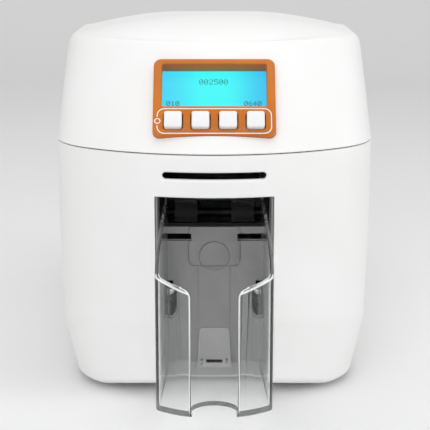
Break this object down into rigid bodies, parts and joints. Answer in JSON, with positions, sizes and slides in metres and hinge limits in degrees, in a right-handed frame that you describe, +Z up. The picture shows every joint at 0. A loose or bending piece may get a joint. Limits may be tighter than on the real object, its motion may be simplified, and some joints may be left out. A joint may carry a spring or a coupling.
{
  "type": "id card printer",
  "caption": "Desktop card printer with a lid that hinges up, a lit display with keys, a hand feed slot and a clear output hopper.",
  "frame": {"origin": "on the table, under the middle of the whole box, hopper included", "axes": "+Z up, -Y towards the front with the display and the hopper, +X to the right seen from the front"},
  "size_m": [0.2, 0.3897, 0.2338],
  "materials": {
    "white_shell": "satin",
    "grey_plastic": "matte",
    "print_white": "matte",
    "clear_plastic": "clear",
    "orange_plastic": "satin",
    "black_plastic": "matte",
    "dark_plastic": "matte",
    "lcd_glass": "lit",
    "foot_rubber": "matte",
    "roller_rubber": "matte",
    "blue_rubber": "tacky",
    "steel": "ground",
    "zinc_sheet": "zinc plated",
    "painted_frame": "powder coated",
    "aluminium_sink": "anodised",
    "head_ceramic": "glazed",
    "circuit_green": "satin",
    "bush_nylon": "satin",
    "dye_film": "glossy",
    "brass_gear": "machined"
  },
  "bodies": {
    "base": {"base_shell": "white_shell", "base_pan": "zinc_sheet", "rubber_feet": "foot_rubber", "pan_screws": "steel", "recess_panel": "grey_plastic", "exit_throat": "black_plastic", "top_deck": "dark_plastic", "deck_fittings": "dark_plastic", "card_bed": "black_plastic", "chassis_left": "zinc_sheet", "chassis_right": "zinc_sheet", "cross_bars": "steel", "shaft_bushes": "bush_nylon", "drive_motor": "black_plastic", "timing_belt": "foot_rubber", "main_board": "circuit_green", "board_parts": "black_plastic", "rear_panel": "zinc_sheet", "dc_inlet": "black_plastic", "usb_port": "zinc_sheet", "ethernet_port": "zinc_sheet", "feeder_housing": "white_shell", "hinge_pins": "steel"},
    "hopper": {"output_hopper": "clear_plastic"},
    "exit_roller": {"exit_shaft": "steel", "exit_rubber": "roller_rubber"},
    "infeed_roller": {"infeed_shaft": "steel", "infeed_rubber": "roller_rubber"},
    "platen": {"platen_shaft": "steel", "platen_rubber": "roller_rubber"},
    "cleaning_roller": {"cleaning_shaft": "steel", "cleaning_sleeve": "blue_rubber"},
    "pick_roller": {"pick_shaft": "steel", "pick_rubber": "roller_rubber"},
    "exit_idler": {"exit_pinch": "roller_rubber"},
    "infeed_idler": {"infeed_pinch": "roller_rubber"},
    "cleaning_idler": {"cleaning_pinch": "roller_rubber"},
    "motor_shaft": {"motor_pulley": "steel"},
    "feeder_lid": {"feeder_cover": "grey_plastic"},
    "weight": {"card_weight": "dark_plastic"},
    "lid": {"lid_shell": "white_shell", "lid_frame": "painted_frame", "lcd_bezel": "orange_plastic", "lcd_lens": "clear_plastic", "lcd_module": "lcd_glass", "panel_print": "print_white", "button_board": "circuit_green", "ribbon_film": "dye_film", "ribbon_motor": "black_plastic"},
    "key_1": {"button_1": "white_shell"},
    "key_2": {"button_2": "white_shell"},
    "key_3": {"button_3": "white_shell"},
    "key_4": {"button_4": "white_shell"},
    "catch_left": {"latch_left": "grey_plastic"},
    "catch_right": {"latch_right": "grey_plastic"},
    "head": {"head_carrier": "aluminium_sink", "printhead": "head_ceramic"},
    "supply": {"supply_spool": "black_plastic"},
    "takeup": {"takeup_spool": "black_plastic"},
    "film_pinion": {"ribbon_pinion": "brass_gear"}
  },
  "joints": [
    {"name": "lid_hinge", "type": "hinge", "parent": "base", "child": "lid", "pos_m": [0, 0.05495, 0.212], "axis": [-1, 0, 0], "range_deg": [0, 65]},
    {"name": "feeder_cover_hinge", "type": "hinge", "parent": "base", "child": "feeder_lid", "pos_m": [0, 0.18195, 0.209], "axis": [-1, 0, 0], "range_deg": [0, 100]},
    {"name": "card_weight_slide", "type": "slide", "parent": "base", "child": "weight", "axis": [0, 0, 1], "range_m": [0, 0.042]},
    {"name": "hopper_pull", "type": "slide", "parent": "base", "child": "hopper", "axis": [0, -1, 0], "range_m": [0, 0.06]},
    {"name": "motor_spin", "type": "hinge", "parent": "base", "child": "motor_shaft", "pos_m": [0, 0.00495, 0.095], "axis": [1, 0, 0], "continuous": true},
    {"name": "exit_spin", "type": "hinge", "parent": "base", "child": "exit_roller", "pos_m": [0, -0.09405, 0.113], "axis": [1, 0, 0], "continuous": true},
    {"name": "infeed_spin", "type": "hinge", "parent": "base", "child": "infeed_roller", "pos_m": [0, -0.08505, 0.1398], "axis": [1, 0, 0], "continuous": true},
    {"name": "platen_spin", "type": "hinge", "parent": "base", "child": "platen", "pos_m": [0, -0.02505, 0.1378], "axis": [1, 0, 0], "continuous": true},
    {"name": "cleaning_spin", "type": "hinge", "parent": "base", "child": "cleaning_roller", "pos_m": [0, 0.02495, 0.1398], "axis": [1, 0, 0], "continuous": true},
    {"name": "pick_spin", "type": "hinge", "parent": "base", "child": "pick_roller", "pos_m": [0, 0.10395, 0.1398], "axis": [1, 0, 0], "continuous": true},
    {"name": "exit_idler_spin", "type": "hinge", "parent": "base", "child": "exit_idler", "pos_m": [0, -0.09405, 0.125], "axis": [1, 0, 0], "continuous": true},
    {"name": "infeed_idler_spin", "type": "hinge", "parent": "base", "child": "infeed_idler", "pos_m": [0, -0.08505, 0.1518], "axis": [1, 0, 0], "continuous": true},
    {"name": "cleaning_idler_spin", "type": "hinge", "parent": "base", "child": "cleaning_idler", "pos_m": [0, 0.02495, 0.1518], "axis": [1, 0, 0], "continuous": true},
    {"name": "button_1_press", "type": "slide", "parent": "lid", "child": "key_1", "axis": [0, 0.809, -0.5878], "range_m": [0, 0.001], "stiffness_N_per_m": 600, "springref_m": -0.0006},
    {"name": "button_2_press", "type": "slide", "parent": "lid", "child": "key_2", "axis": [0, 0.809, -0.5878], "range_m": [0, 0.001], "stiffness_N_per_m": 600, "springref_m": -0.0006},
    {"name": "button_3_press", "type": "slide", "parent": "lid", "child": "key_3", "axis": [0, 0.809, -0.5878], "range_m": [0, 0.001], "stiffness_N_per_m": 600, "springref_m": -0.0006},
    {"name": "button_4_press", "type": "slide", "parent": "lid", "child": "key_4", "axis": [0, 0.809, -0.5878], "range_m": [0, 0.001], "stiffness_N_per_m": 600, "springref_m": -0.0006},
    {"name": "latch_left_press", "type": "slide", "parent": "lid", "child": "catch_left", "axis": [1, 0, 0], "range_m": [0, 0.003], "stiffness_N_per_m": 500, "springref_m": -0.001},
    {"name": "latch_right_press", "type": "slide", "parent": "lid", "child": "catch_right", "axis": [-1, 0, 0], "range_m": [0, 0.003], "stiffness_N_per_m": 500, "springref_m": -0.001},
    {"name": "head_float", "type": "slide", "parent": "lid", "child": "head", "axis": [0, 0, 1], "range_m": [0, 0.0015], "stiffness_N_per_m": 1000, "springref_m": -0.001},
    {"name": "takeup_spin", "type": "hinge", "parent": "lid", "child": "takeup", "pos_m": [0, -0.06005, 0.172], "axis": [1, 0, 0], "continuous": true},
    {"name": "supply_spin", "type": "hinge", "parent": "lid", "child": "supply", "pos_m": [0, 0.01295, 0.172], "axis": [1, 0, 0], "continuous": true},
    {"name": "film_pinion_spin", "type": "hinge", "parent": "lid", "child": "film_pinion", "pos_m": [0, -0.06005, 0.1961], "axis": [1, 0, 0], "continuous": true}
  ],
  "couplings": [
    {"joint": "exit_spin", "follows": "motor_spin", "ratio": 1},
    {"joint": "infeed_spin", "follows": "motor_spin", "ratio": 1},
    {"joint": "cleaning_spin", "follows": "motor_spin", "ratio": 1},
    {"joint": "pick_spin", "follows": "motor_spin", "ratio": 1},
    {"joint": "platen_spin", "follows": "motor_spin", "ratio": 0.77778},
    {"joint": "exit_idler_spin", "follows": "motor_spin", "ratio": -1.0909},
    {"joint": "infeed_idler_spin", "follows": "motor_spin", "ratio": -1.0909},
    {"joint": "cleaning_idler_spin", "follows": "motor_spin", "ratio": -1.0909},
    {"joint": "supply_spin", "follows": "takeup_spin", "ratio": 0.75},
    {"joint": "film_pinion_spin", "follows": "takeup_spin", "ratio": -3}
  ]
}
